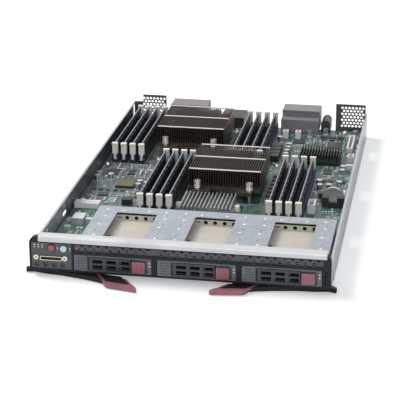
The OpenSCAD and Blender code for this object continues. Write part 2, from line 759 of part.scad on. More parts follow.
module heatsink_screws() {
    color("#d9d9d6") in_frame() for (c = [cpu_front, cpu_rear], s = [-1, 1], y = [-48.5, 34.5])
        translate([c[0] + s * screw_dx, c[1] + y, 0]) difference() {
            union() {
                translate([0, 0, board_z0]) cylinder(h = 22, d = 3.2);
                translate([0, 0, 25.4]) cylinder(h = 3.2, d1 = 8.6, d2 = 7.4);
                for (k = [0:4]) translate([0, 0, sink_z0 + sink_base + k * 1.2]) cylinder(h = 0.7, d = 6.4);
                translate([0, 0, sink_z0 + sink_base]) cylinder(h = 6, d = 4.6);
            }
            for (a = [0, 90]) translate([0, 0, 28.4]) rotate([0, 0, a]) cube([5, 1, 2], center = true);
        }
}

module chipset_heatsink() {
    color("#b9bcbf") in_frame() {
        difference() {
            union() {
                block([117, 146, board_top + 2.4], [170, 191, board_top + 5]);
                block([109.2, 162, board_top + 2.4], [177.8, 171, board_top + 4.4]);
            }
            for (x = [112.6, 174.4]) translate([x, 166.5, 0]) cylinder(h = 30, d = 3.2);
        }
        for (k = [0:13]) block([117 + k * 4, 146, board_top + 4.9], [118 + k * 4, 191, board_top + 13.5]);
    }
}

module chipset_pins() {
    color("#f2f2ef") in_frame() for (x = [112.6, 174.4]) translate([x, 166.5, board_top]) {
        cylinder(h = 7, d = 3);
        translate([0, 0, 4.4]) cylinder(h = 2.4, d = 4.6);
        translate([0, 0, 7]) cylinder(h = 2.6, d1 = 6.4, d2 = 5.2);
    }
}

module io_hub_heatsink() {
    color("#1d3527") in_frame() {
        block([221, 328, board_top + 2.4], [266, 366, board_top + 5]);
        for (k = [0:14])
            block([221 + k * 3.15, 328, board_top + 4.9], [221.9 + k * 3.15, 366, board_top + 12.5]);
    }
}

// ---------------------------------------------------------------- memory

module dimm_socket(x, y) {
    difference() {
        union() {
            block([x - socket_w / 2, y - 1, board_top],
                  [x + socket_w / 2, y + dimm_l + 1, board_top + socket_h]);
            for (s = [0, 1])
                block([x - socket_w / 2, s == 0 ? y - 6.4 : y + dimm_l + 1, board_top],
                      [x + socket_w / 2, s == 0 ? y - 1 : y + dimm_l + 6.4, board_top + 9]);
        }
        // card slot
        block([x - dimm_t / 2 - gap, y - 1.5, module_z0],
              [x + dimm_t / 2 + gap, y + dimm_l + 1.5, board_top + 20]);
        // forks that hold the latches
        for (s = [0, 1])
            block([x - 1.8, s == 0 ? y - 7 : y + dimm_l + 0.2, board_top + 2],
                  [x + 1.8, s == 0 ? y - 0.2 : y + dimm_l + 7, board_top + 20]);
        for (yy = [y - latch_y - 0.6, y + dimm_l + latch_y + 0.6])
            translate([x - 5, yy, latch_pin_z]) rotate([0, 90, 0])
                cylinder(h = 10, d = latch_pin_d + 2 * pin_gap, $fn = 24);
    }
}

// Sockets of one colour: the first bank pair starts with one colour, the other with the other.
module socket_set(phase) {
    for (b = [0:3], k = [0:3])
        if ((k + (b % 2)) % 2 == phase) dimm_socket(banks[b][0] + k * dimm_pitch, banks[b][1]);
}

module dimm_sockets_blue() {
    color("#2d3f78") in_frame() socket_set(0);
}

module dimm_sockets_black() {
    color("#17181c") in_frame() socket_set(1);
}

module memory_module() {
    difference() {
        block([-dimm_t / 2, 0, module_z0], [dimm_t / 2, dimm_l, module_z1]);
        // key notch and the side notches the latches hold
        block([-2, 60.4, module_z0 - 1], [2, 61.9, module_z0 + 2.6]);
        for (y = [-1, dimm_l - 1.8]) block([-2, y, module_z0 + 9], [2, y + 2.8, module_z0 + 12]);
    }
    for (c = [0:8])
        translate([0, 4.6 + c * 14.1 + (c > 3 ? 1.2 : 0), 0])
            block([dimm_t / 2 - 0.1, 0, module_z0 + 4.4], [dimm_t / 2 + 1.1, 9.6, module_z0 + 15.6]);
}

module memory_modules() {
    color("#23413a") in_frame() for (b = [0:3], k = [0:3])
        translate([banks[b][0] + k * dimm_pitch, banks[b][1], 0]) memory_module();
}

// Latch in its closed place, hinged on its own pin; dir is -1 at the front end.
module latch(x, y_end, dir) {
    py = y_end + dir * (latch_y + 0.6);
    bar_y = [py + dir * 0.6, py + dir * 3];
    nose_y = [y_end - dir * 1.3, py];
    union() {
        // stem between the fork cheeks
        block([x - 1.6, py - 1.7, latch_pin_z - 1.2], [x + 1.6, py + 1.7, board_top + 12]);
        // wide head with its top bar
        block([x - 3.1, py - 1.7, board_top + 10.4], [x + 3.1, py + 1.7, latch_z1]);
        block([x - 3.4, min(bar_y), latch_z1 - 2], [x + 3.4, max(bar_y), latch_z1]);
        // nose in the side notch of the module
        block([x - 0.5, min(nose_y), module_z0 + 9.6], [x + 0.5, max(nose_y), module_z0 + 11.4]);
        translate([x - 3.1, py, latch_pin_z]) rotate([0, 90, 0])
            cylinder(h = 6.2, d = latch_pin_d, $fn = 24);
    }
}

module latch_row(bank, dir) {
    color("#eae6da") in_frame() for (k = [0:3])
        latch(banks[bank][0] + k * dimm_pitch, banks[bank][1] + (dir > 0 ? dimm_l : 0), dir);
}

module latches_a_front() { latch_row(0, -1); }
module latches_a_rear() { latch_row(0, 1); }
module latches_b_front() { latch_row(1, -1); }
module latches_b_rear() { latch_row(1, 1); }
module latches_c_front() { latch_row(2, -1); }
module latches_c_rear() { latch_row(2, 1); }
module latches_d_front() { latch_row(3, -1); }
module latches_d_rear() { latch_row(3, 1); }

// ---------------------------------------------------------------- board parts

module battery_holder() {
    color("#15171a") in_frame() difference() {
        block([259, 201, board_top], [282, 210, board_top + 11]);
        translate([270.5, 203.6, board_top + 11.6]) rotate([-90, 0, 0]) cylinder(h = 3.6, d = 20.6);
        block([266, 200, board_top + 6], [275, 204, board_top + 12]);
    }
}

module coin_cell() {
    color("#d8cfd0") in_frame() translate([270.5, 203.8, board_top + 11.6]) rotate([-90, 0, 0]) {
        cylinder(h = 3.2, d = 20);
    }
}

module midplane_block(x0, w) {
    difference() {
        union() {
            block([x0, 454, board_top], [x0 + w, conn_y1, board_top + 23]);
            block([x0, 440, board_top], [x0 + w, 455, board_top + 16]);
            block([x0, 452, board_top + 22], [x0 + w, 455.5, board_top + 24]);
        }
        // contact chambers in the mating face
        for (c = [0:6], r = [0:3])
            block([x0 + 2.6 + c * (w - 3) / 7, conn_y1 - 9, board_top + 3 + r * 4.8],
                  [x0 + 5.4 + c * (w - 3) / 7, conn_y1 + 1, board_top + 6.4 + r * 4.8]);
    }
}

module midplane_connectors() {
    color("#8a8c92") in_frame() {
        midplane_block(49, 45);
        midplane_block(186, 45);
    }
}

module guide_blocks() {
    for (x = [103, 239]) difference() {
        union() {
            block([x - 5.5, 448, board_top], [x + 5.5, 470, board_top + 8]);
            y_rod(x, board_top + 9, 448, 472, 11);
        }
        y_rod(x, board_top + 9, 455, 480, 7);
    }
}

module power_connector() {
    difference() {
        block([112, 446, board_top], [140, conn_y1 - 2, board_top + 13]);
        for (k = [0:2])
            block([115.4 + k * 8.6, 464, board_top + 2.5], [118.8 + k * 8.6, conn_y1, board_top + 10.5]);
    }
}

module rear_blocks() {
    color("#26292e") in_frame() {
        guide_blocks();
        power_connector();
    }
}

module board_chips() {
    color("#2a2c2f") in_frame() {
        // bridge chip under the finned heatsink, input output hub and controller packages
        block([128, 152, board_top], [158, 182, board_top + 2.4]);
        block([228, 332, board_top], [259, 362, board_top + 2.4]);
        block([32, 222, board_top], [52, 242, board_top + 2.2]);
        block([246, 388, board_top], [264, 406, board_top + 1.6]);
        block([12, 262, board_top], [26, 276, board_top + 1.4]);
        block([36, 264, board_top], [44, 276, board_top + 1.2]);
        block([205, 400, board_top], [219, 412, board_top + 1.4]);
        block([250, 300, board_top], [260, 314, board_top + 1.2]);
        block([264, 236, board_top], [278, 244, board_top + 1.4]);
        block([58, 196, board_top], [66, 204, board_top + 1.2]);
        block([18, 196, board_top], [30, 204, board_top + 1.2]);
        // rows of power stages beside the processors
        for (k = [0:5]) block([197, 222 + k * 12, board_top], [203, 229 + k * 12, board_top + 1.4]);
        for (k = [0:5]) block([136, 352 + k * 12, board_top], [142, 359 + k * 12, board_top + 1.4]);
        for (k = [0:3]) block([252 + k * 7, 276, board_top], [256.6 + k * 7, 282, board_top + 1.1]);
        for (k = [0:4]) block([8 + k * 8, 212, board_top], [12 + k * 8, 216, board_top + 1.1]);
        for (k = [0:2], r = [0:1])
            block([236 + k * 10, 416 + r * 9, board_top], [243 + k * 10, 421 + r * 9, board_top + 1.2]);
        // moulded inductors of the power stages
        for (k = [0:3]) block([68 + k * 11.5, 306, board_top], [77.6 + k * 11.5, 315.6, board_top + 6.6]);
        for (k = [0:3]) block([186, 334 + k * 12, board_top], [196, 344 + k * 12, board_top + 6.6]);
        for (k = [0:1]) block([253 + k * 13, 226, board_top], [263 + k * 13, 234, board_top + 5.6]);
        block([50, 174, board_top], [60, 184, board_top + 6]);
    }
}

module capacitors() {
    color("#c6c8cc") in_frame() {
        for (k = [0:4]) translate([70 + k * 10.4, 323, board_top]) cylinder(h = 7, d = 6.3);
        for (k = [0:4]) translate([204, 330 + k * 11, board_top]) cylinder(h = 9, d = 6.3);
        for (p = [[8, 240], [8, 250], [22, 246], [58, 220], [58, 230], [66, 226], [252, 250], [262, 252],
                  [272, 262], [250, 264], [272, 300], [272, 312], [240, 440], [222, 430], [190, 402],
                  [276, 436]])
            translate([p[0], p[1], board_top]) {
                cylinder(h = 7.4, d = 6.3);
                translate([-3.6, -3.6, 0]) cube([7.2, 7.2, 0.9]);
            }
    }
}

module board_connectors() {
    color("#e8e5e4") in_frame() {
        // link between the front board and the system board
        difference() {
            block([3, 157.6, board_top], [29.5, 168, board_top + 6]);
            block([4.4, 161.8, board_top + 4], [28.1, 163.6, board_top + 7]);
        }
        // small headers
        difference() {
            block([274, 340, board_top], [281, 352, board_top + 8]);
            block([275.6, 341.4, board_top + 2], [279.4, 350.6, board_top + 9]);
        }
        for (x = [191, 206]) difference() {
            block([x, 416, board_top], [x + 6.4, 424, board_top + 9]);
            block([x + 1.4, 417.4, board_top + 2.4], [x + 5, 422.6, board_top + 10]);
        }
        difference() {
            block([246, 180, board_top], [254, 198, board_top + 10]);
            block([248.1, 181.4, board_top + 2.4], [251.9, 196.6, board_top + 11]);
        }
        block([66, 184, board_top], [70, 196, board_top + 7]);
        block([274, 318, board_top], [283, 322, board_top + 6]);
        // long mezzanine header
        difference() {
            block([270, 376, board_top], [277, 424, board_top + 6]);
            block([272, 378, board_top + 2], [275, 422, board_top + 7]);
        }
    }
}

chassis_tray();
rear_vent_plates();
front_bezel();
front_grille();
top_lip();
control_panel();
power_button();
console_button();
console_connector();
jackscrews();
io_board();
io_board_parts();
drive_cage();
drive_backplane();
drive_receptacles();
carrier_1();
carrier_2();
carrier_3();
drive_blank_1();
drive_blank_2();
drive_blank_3();
carrier_lever_1();
carrier_lever_2();
carrier_lever_3();
carrier_button_1();
carrier_button_2();
carrier_button_3();
handle_left();
handle_right();
trigger_left();
trigger_right();
handle_pins();
motherboard();
board_standoffs();
board_screws();
cpu_sockets();
cpu_heatsinks();
heatsink_bars();
heatsink_screws();
chipset_heatsink();
chipset_pins();
io_hub_heatsink();
dimm_sockets_blue();
dimm_sockets_black();
memory_modules();
latches_a_front();
latches_a_rear();
latches_b_front();
latches_b_rear();
latches_c_front();
latches_c_rear();
latches_d_front();
latches_d_rear();
battery_holder();
coin_cell();
midplane_connectors();
rear_blocks();
board_chips();
capacitors();
board_connectors();
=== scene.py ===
import bpy
import json
import math
import random
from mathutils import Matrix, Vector


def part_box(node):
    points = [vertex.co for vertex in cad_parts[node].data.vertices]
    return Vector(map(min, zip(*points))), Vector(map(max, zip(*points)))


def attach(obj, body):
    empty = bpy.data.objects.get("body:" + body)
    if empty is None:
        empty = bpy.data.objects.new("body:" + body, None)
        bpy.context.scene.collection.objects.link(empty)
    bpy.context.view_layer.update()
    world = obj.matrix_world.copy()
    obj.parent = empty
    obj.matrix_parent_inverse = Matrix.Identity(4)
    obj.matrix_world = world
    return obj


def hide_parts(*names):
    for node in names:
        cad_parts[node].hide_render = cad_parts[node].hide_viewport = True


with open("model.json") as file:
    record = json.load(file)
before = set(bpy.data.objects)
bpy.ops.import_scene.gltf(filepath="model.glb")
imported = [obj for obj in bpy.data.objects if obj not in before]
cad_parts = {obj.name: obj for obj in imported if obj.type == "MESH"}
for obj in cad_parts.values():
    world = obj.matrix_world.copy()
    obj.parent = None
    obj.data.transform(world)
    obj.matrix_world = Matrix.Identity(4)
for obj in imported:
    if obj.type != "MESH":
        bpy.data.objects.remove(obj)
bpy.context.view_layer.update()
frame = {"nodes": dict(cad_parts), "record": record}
NODES = frame["nodes"]
scene = bpy.context.scene
rng = random.Random(7)

# The front left bottom corner of the blade, from which all places below are counted in millimetres.
tray_lo, tray_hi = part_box("chassis_tray")
bezel_lo, bezel_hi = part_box("front_bezel")
board_lo, board_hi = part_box("motherboard")
CORNER = Vector((tray_lo.x, bezel_lo.y, tray_lo.z))
WIDTH = (tray_hi.x - tray_lo.x) * 1000
TOP = (board_hi.z - CORNER.z) * 1000


def at(x, y, z):
    return Vector((CORNER.x + x / 1000, CORNER.y + y / 1000, CORNER.z + z / 1000))


# ---------------------------------------------------------------- camera, light, floor

def make_camera():
    azimuth, elevation, distance = math.radians(9.43), math.radians(20.61), 1.6215
    back = Vector((math.sin(azimuth) * math.cos(elevation),
                   -math.cos(azimuth) * math.cos(elevation), math.sin(elevation)))
    data = bpy.data.cameras.new("camera")
    data.sensor_width = 36
    data.lens = 136.25
    data.shift_x = -0.0409
    data.shift_y = -0.0401
    data.clip_end = 50
    camera = bpy.data.objects.new("camera", data)
    camera.location = at(WIDTH / 2, 220, 20) + back * distance
    camera.rotation_euler = (-back).to_track_quat("-Z", "Y").to_euler()
    scene.collection.objects.link(camera)
    scene.camera = camera


def area_light(name, place, target, size, power, colour=(1, 1, 1)):
    data = bpy.data.lights.new(name, "AREA")
    data.shape = "RECTANGLE"
    data.size, data.size_y = size
    data.energy = power
    data.color = colour
    lamp = bpy.data.objects.new(name, data)
    lamp.location = place
    lamp.rotation_euler = (Vector(target) - Vector(place)).to_track_quat("-Z", "Y").to_euler()
    scene.collection.objects.link(lamp)


def make_world():
    world = bpy.data.worlds.new("studio")
    scene.world = world
    world.use_nodes = True
    t = world.node_tree
    t.nodes.clear()
    out = t.nodes.new("ShaderNodeOutputWorld")
    mix = t.nodes.new("ShaderNodeMixShader")
    seen = t.nodes.new("ShaderNodeBackground")
    seen.inputs["Color"].default_value = (1, 1, 1, 1)
    seen.inputs["Strength"].default_value = 1.0
    soft = t.nodes.new("ShaderNodeBackground")
    soft.inputs["Color"].default_value = (0.96, 0.98, 1, 1)
    soft.inputs["Strength"].default_value = 0.46
    path = t.nodes.new("ShaderNodeLightPath")
    a = t.nodes.new("ShaderNodeMath")
    a.operation = "MAXIMUM"
    b = t.nodes.new("ShaderNodeMath")
    b.operation = "MAXIMUM"
    t.links.new(path.outputs["Is Camera Ray"], a.inputs[0])
    t.links.new(path.outputs["Is Glossy Ray"], a.inputs[1])
    t.links.new(a.outputs[0], b.inputs[0])
    t.links.new(path.outputs["Is Transmission Ray"], b.inputs[1])
    t.links.new(b.outputs[0], mix.inputs[0])
    t.links.new(soft.outputs[0], mix.inputs[1])
    t.links.new(seen.outputs[0], mix.inputs[2])
    t.links.new(mix.outputs[0], out.inputs["Surface"])


def make_floor():
    bpy.ops.mesh.primitive_grid_add(x_subdivisions=8, y_subdivisions=8, size=40)
    floor = bpy.context.object
    floor.name = "floor"
    floor.location = (0, 0, CORNER.z - 0.0004)
    m = bpy.data.materials.new("floor_white")
    m.use_nodes = True
    t = m.node_tree
    t.nodes.clear()
    out = t.nodes.new("ShaderNodeOutputMaterial")
    diffuse = t.nodes.new("ShaderNodeBsdfDiffuse")
    noise = t.nodes.new("ShaderNodeTexNoise")
    noise.inputs["Scale"].default_value = 3
    ramp = t.nodes.new("ShaderNodeValToRGB")
    ramp.color_ramp.elements[0].color = (0.90, 0.90, 0.90, 1)
    ramp.color_ramp.elements[1].color = (0.92, 0.92, 0.92, 1)
    glow = t.nodes.new("ShaderNodeEmission")
    path = t.nodes.new("ShaderNodeLightPath")
    scale = t.nodes.new("ShaderNodeMath")
    scale.operation = "MULTIPLY"
    scale.inputs[1].default_value = 0.30
    add = t.nodes.new("ShaderNodeAddShader")
    t.links.new(noise.outputs["Fac"], ramp.inputs["Fac"])
    t.links.new(ramp.outputs["Color"], diffuse.inputs["Color"])
    t.links.new(path.outputs["Is Camera Ray"], scale.inputs[0])
    t.links.new(scale.outputs[0], glow.inputs["Strength"])
    t.links.new(diffuse.outputs[0], add.inputs[0])
    t.links.new(glow.outputs[0], add.inputs[1])
    t.links.new(add.outputs[0], out.inputs["Surface"])
    floor.data.materials.append(m)


make_camera()
make_world()
make_floor()
area_light("key", (-1.6, 0.4, 2.0), (0, 0, 0), (1.2, 1.2), 50, (1.0, 0.99, 0.97))
area_light("fill", (0.5, -2.4, 1.3), (0, -0.1, 0), (2.2, 1.2), 19, (0.96, 0.98, 1.0))
scene.view_settings.view_transform = "Standard"


# ---------------------------------------------------------------- materials

class Nodes:
    """Short hand for building one material's node tree."""

    def __init__(self, name):
        self.material = bpy.data.materials.new(name)
        self.material.use_nodes = True
        self.tree = self.material.node_tree
        self.shader = self.tree.nodes["Principled BSDF"]
        self.place = self.add("ShaderNodeTexCoord").outputs["Object"]

    def add(self, kind, **values):
        node = self.tree.nodes.new(kind)
        for key, value in values.items():
            if key in node.inputs.keys():
                node.inputs[key].default_value = value
            else:
                setattr(node, key, value)
        return node

    def link(self, a, b):
        self.tree.links.new(a, b)

    def set(self, **values):
        for key, value in values.items():
            self.shader.inputs[key.replace("_", " ")].default_value = value

    def stretch(self, scale):
        node = self.add("ShaderNodeMapping")
        node.inputs["Scale"].default_value = scale
        self.link(self.place, node.inputs["Vector"])
        return node.outputs[0]

    def noise(self, scale, detail=3.0, rough=0.55, vector=None):
        node = self.add("ShaderNodeTexNoise")
        node.inputs["Scale"].default_value = scale
        node.inputs["Detail"].default_value = detail
        node.inputs["Roughness"].default_value = rough
        self.link(vector if vector is not None else self.place, node.inputs["Vector"])
        return node.outputs["Fac"]

    def voronoi(self, scale, feature="F1", out="Distance", vector=None):
        node = self.add("ShaderNodeTexVoronoi")
        node.feature = feature
        node.inputs["Scale"].default_value = scale
        self.link(vector if vector is not None else self.place, node.inputs["Vector"])
        return node.outputs[out]

    def ramp(self, value, stops):
        node = self.add("ShaderNodeValToRGB")
        elements = node.color_ramp.elements
        while len(elements) < len(stops):
            elements.new(0.5)
        for element, (pos, colour) in zip(elements, stops):
            element.position = pos
            element.color = (*colour, 1) if len(colour) == 3 else colour
        self.link(value, node.inputs["Fac"])
        return node.outputs["Color"]

    def range(self, value, a, b, c, d):
        node = self.add("ShaderNodeMapRange")
        for key, number in (("From Min", a), ("From Max", b), ("To Min", c), ("To Max", d)):
            node.inputs[key].default_value = number
        self.link(value, node.inputs["Value"])
        return node.outputs["Result"]

    def math(self, kind, a, b=None):
        node = self.add("ShaderNodeMath", operation=kind)
        for i, value in enumerate((a, b)):
            if value is None:
                continue
            if isinstance(value, (int, float)):
                node.inputs[i].default_value = value
            else:
                self.link(value, node.inputs[i])
        return node.outputs[0]

    def mix(self, factor, a, b, kind="MIX"):
        node = self.add("ShaderNodeMix", data_type="RGBA", blend_type=kind)
        for value, socket in ((factor, node.inputs[0]), (a, node.inputs[6]), (b, node.inputs[7])):
            if isinstance(value, (int, float)):
                socket.default_value = value
            elif isinstance(value, tuple):
                socket.default_value = (*value, 1)
            else:
                self.link(value, socket)
        return node.outputs[2]

    def colour(self, value):
        self.link(value, self.shader.inputs["Base Color"])

    def rough(self, value):
        self.link(value, self.shader.inputs["Roughness"])

    def bump(self, height, distance, strength=1.0, edge=0.0):
        node = self.add("ShaderNodeBump")
        node.inputs["Strength"].default_value = strength
        node.inputs["Distance"].default_value = distance
        self.link(height, node.inputs["Height"])
        if edge:
            bevel = self.add("ShaderNodeBevel", samples=4)
            bevel.inputs["Radius"].default_value = edge
            self.link(bevel.outputs["Normal"], node.inputs["Normal"])
        self.link(node.outputs["Normal"], self.shader.inputs["Normal"])


def shade(colour, k):
    return tuple(min(1.0, c * k) for c in colour)


def plastic(name, colour, rough=0.45, grain=900, depth=0.00004, spread=0.16, edge=0.0003, coat=0.0, dust=0.05,
            gloss=0.5):
    n = Nodes(name)
    n.set(Specular_IOR_Level=gloss)
    cloud = n.noise(60, 4)
    base = n.ramp(cloud, [(0.3, shade(colour, 1 - spread)), (0.7, shade(colour, 1 + spread))])
    lint = n.range(n.noise(420, 2, 0.7), 0.66, 0.86, 0, dust * 4)
    n.colour(n.mix(lint, base, tuple(min(1, c + 0.18) for c in colour)))
    n.rough(n.range(n.noise(150, 3), 0.3, 0.7, rough - 0.07, rough + 0.09))
    n.bump(n.noise(grain * 4, 2, 0.6), depth, 0.5, edge)
    n.set(Coat_Weight=coat)
    return n.material


def sheet_metal(name, colour, rough=0.38, metal=0.75, spangle=0.10, streaks=(30, 900, 900), edge=0.0002):
    n = Nodes(name)
    cells = n.voronoi(140, out="Color")
    level = n.range(cells, 0, 1, 1 - spangle, 1 + spangle)
    brushed = n.noise(1, 4, 0.6, n.stretch(streaks))
    level = n.math("MULTIPLY", level, n.range(brushed, 0.3, 0.7, 0.93, 1.06))
    smudge = n.range(n.noise(18, 4, 0.6), 0.35, 0.7, 1.04, 0.9)
    level = n.math("MULTIPLY", level, smudge)
    n.colour(n.mix(1.0, colour, level, "MULTIPLY"))
    n.rough(n.range(brushed, 0.3, 0.7, rough - 0.08, rough + 0.1))
    n.bump(brushed, 0.00003, 0.4, edge)
    n.set(Metallic=metal)
    return n.material


def board(name, base, trace, pad, gloss=0.28, far=None, span=(0, 1)):
    """Solder mask over copper traces that run one way or the other in patches, with pads between."""
    n = Nodes(name)
    # the mask and trace colours turn from base to the far pair along object X over span, a left-to-right
    # change of tone
    if far:
        axis = n.add("ShaderNodeSeparateXYZ")
        n.link(n.place, axis.inputs[0])
        shift = n.range(axis.outputs[0], span[0], span[1], 0, 1)
        base, trace = n.mix(shift, base, far[0]), n.mix(shift, trace, far[1])
    split = n.add("ShaderNodeSeparateXYZ")
    n.link(n.place, split.inputs[0])
    x, y = split.outputs[0], split.outputs[1]
    patch = n.add("ShaderNodeTexVoronoi", distance="CHEBYCHEV")
    patch.inputs["Scale"].default_value = 62
    n.link(n.place, patch.inputs["Vector"])
    pick = n.add("ShaderNodeSeparateColor")
    n.link(patch.outputs["Color"], pick.inputs[0])
    lines_x = n.math("SINE", n.math("MULTIPLY", x, 6283 / 1.1))
    lines_y = n.math("SINE", n.math("MULTIPLY", y, 6283 / 1.1))
    lines_d = n.math("SINE", n.math("MULTIPLY", n.math("ADD", x, y), 6283 / 1.5))
    way = n.math("GREATER_THAN", pick.outputs[0], 0.5)
    lines = n.math("ADD", n.math("MULTIPLY", lines_x, way),
                   n.math("MULTIPLY", lines_y, n.math("SUBTRACT", 1.0, way)))
    slanted = n.math("GREATER_THAN", pick.outputs[2], 0.78)
    lines = n.math("ADD", n.math("MULTIPLY", lines, n.math("SUBTRACT", 1.0, slanted)),
                   n.math("MULTIPLY", lines_d, slanted))
    lines = n.range(lines, 0.1, 0.5, 0, 1)
    lines = n.math("MULTIPLY", lines, n.math("GREATER_THAN", pick.outputs[1], 0.35))
    cloud = n.range(n.noise(40, 3), 0.3, 0.7, 0.8, 1.2)
    ground = n.mix(1.0, base, cloud, "MULTIPLY")
    colour = n.mix(lines, ground, trace)
    dots = n.range(n.voronoi(420), 0.16, 0.22, 1, 0)
    dots = n.math("MULTIPLY", dots, n.range(n.noise(50, 2), 0.5, 0.56, 0, 1))
    colour = n.mix(dots, colour, pad)
    n.colour(colour)
    n.rough(n.range(dots, 0, 1, gloss, 0.4))
    n.bump(n.math("ADD", lines, dots), 0.00004, 0.6, 0.0002)
    n.set(IOR=1.55)
    return n.material


def fins(name, colour, rough=0.34, metal=0.85):
    """Bare fins with heat tint and drawn streaks that run up and down."""
    n = Nodes(name)
    streak = n.noise(1, 4, 0.65, n.stretch((900, 900, 60)))
    tint = n.noise(45, 4, 0.6)
    base = n.ramp(tint, [(0.3, shade(colour, 0.72)), (0.55, colour), (0.75, shade(colour, 1.3))])
    n.colour(n.mix(1.0, base, n.range(streak, 0.3, 0.7, 0.82, 1.14), "MULTIPLY"))
    n.rough(n.range(streak, 0.3, 0.7, rough - 0.08, rough + 0.12))
    n.bump(streak, 0.00004, 0.5, 0.0002)
    n.set(Metallic=metal)
    return n.material


def turned(name, colour, rough=0.26, metal=1.0):
    n = Nodes(name)
    rings = n.noise(1, 3, 0.6, n.stretch((700, 700, 2600)))
    n.colour(n.ramp(rings, [(0.25, shade(colour, 0.8)), (0.7, shade(colour, 1.08))]))
    n.rough(n.range(rings, 0.3, 0.7, rough - 0.06, rough + 0.12))
    n.bump(rings, 0.00003, 0.4, 0.0002)
    n.set(Metallic=metal)
    return n.material


MATERIALS = {
    "galvanised_tray": sheet_metal("galvanised_tray", (0.52, 0.535, 0.56), 0.30, 0.92, 0.05, (900, 30, 900)),
    "galvanised_cage": sheet_metal("galvanised_cage", (0.395, 0.43, 0.475), 0.44, 0.5, 0.10, (30, 900, 900)),
    "dark_sheet": plastic("dark_sheet", (0.075, 0.078, 0.086), 0.42),
    "bezel_black": plastic("bezel_black", (0.011, 0.012, 0.016), 0.46, dust=0.04, gloss=0.3),
    "silver_lip": sheet_metal("silver_lip", (0.66, 0.66, 0.67), 0.32, 0.35, 0.02, (20, 700, 700), 0.0006),
    "panel_dark": plastic("panel_dark", (0.075, 0.077, 0.083), 0.42, dust=0.1),
    "button_maroon": plastic("button_maroon", (0.34, 0.125, 0.16), 0.36, coat=0.15, dust=0.08),
    "button_blue": plastic("button_blue", (0.52, 0.70, 0.82), 0.30, coat=0.3),
    "connector_shell": turned("connector_shell", (0.80, 0.74, 0.62), 0.22),
    "jackscrew_metal": turned("jackscrew_metal", (0.90, 0.87, 0.80), 0.20),
    "board_green": board("board_green", (0.012, 0.070, 0.058), (0.022, 0.12, 0.095), (0.62, 0.62, 0.55),
                         far=((0.010, 0.120, 0.080), (0.022, 0.20, 0.14)), span=(-0.125, -0.112)),
    "board_teal": board("board_teal", (0.050, 0.080, 0.082), (0.115, 0.165, 0.165), (0.60, 0.62, 0.60),
                        far=((0.024, 0.072, 0.062), (0.060, 0.165, 0.14)), span=(-0.09, 0.07)),
    "board_parts": sheet_metal("board_parts", (0.66, 0.68, 0.70), 0.30, 0.7, 0.03),
    "receptacle_black": plastic("receptacle_black", (0.030, 0.031, 0.034), 0.40),
    "carrier_grey": plastic("carrier_grey", (0.125, 0.138, 0.155), 0.40, dust=0.1),
    "lever_grey": plastic("lever_grey", (0.046, 0.050, 0.060), 0.40, dust=0.08),
    "blank_cream": plastic("blank_cream", (0.56, 0.52, 0.46), 0.50, spread=0.05, dust=0.0),
    "handle_black": plastic("handle_black", (0.010, 0.011, 0.013), 0.42, dust=0.02, gloss=0.3),
    "trigger_maroon": plastic("trigger_maroon", (0.30, 0.115, 0.145), 0.36, coat=0.15, dust=0.08),
    "pin_steel": turned("pin_steel", (0.55, 0.56, 0.58), 0.3),
    "standoff_brass": turned("standoff_brass", (0.66, 0.50, 0.25), 0.3),
    "screw_steel": turned("screw_steel", (0.72, 0.72, 0.71), 0.28),
    "socket_steel": sheet_metal("socket_steel", (0.62, 0.62, 0.60), 0.3, 0.9, 0.03),
    "copper_sink": fins("copper_sink", (0.150, 0.112, 0.092)),
    "aluminium_sink": fins("aluminium_sink", (0.52, 0.53, 0.54), 0.32, 0.7),
    "push_pin_white": plastic("push_pin_white", (0.84, 0.84, 0.81), 0.4, spread=0.03, dust=0.0),
    "green_sink": fins("green_sink", (0.014, 0.036, 0.020), 0.45, 0.3),
    "socket_blue": plastic("socket_blue", (0.020, 0.034, 0.115), 0.40),
    "socket_black": plastic("socket_black", (0.013, 0.014, 0.017), 0.38),
    "module_board": board("module_board", (0.012, 0.040, 0.034), (0.022, 0.065, 0.05), (0.55, 0.50, 0.35)),
    "latch_cream": plastic("latch_cream", (0.84, 0.82, 0.76), 0.42, spread=0.04, dust=0.0),
    "holder_black": plastic("holder_black", (0.016, 0.016, 0.019), 0.38),
    "cell_metal": turned("cell_metal", (0.62, 0.56, 0.58), 0.28),
    "midplane_grey": plastic("midplane_grey", (0.215, 0.205, 0.215), 0.42, spread=0.08),
    "chip_black": plastic("chip_black", (0.022, 0.023, 0.026), 0.40, grain=1400),
    "can_aluminium": turned("can_aluminium", (0.62, 0.64, 0.67), 0.26),
    "header_white": plastic("header_white", (0.76, 0.74, 0.78), 0.42, spread=0.04, dust=0.0),
}

for part in frame["record"]["subparts"]:
    ob = NODES[part["node"]]
    ob.data.materials.clear()
    ob.data.materials.append(MATERIALS[part["material_slot"]])


# ---------------------------------------------------------------- added pieces

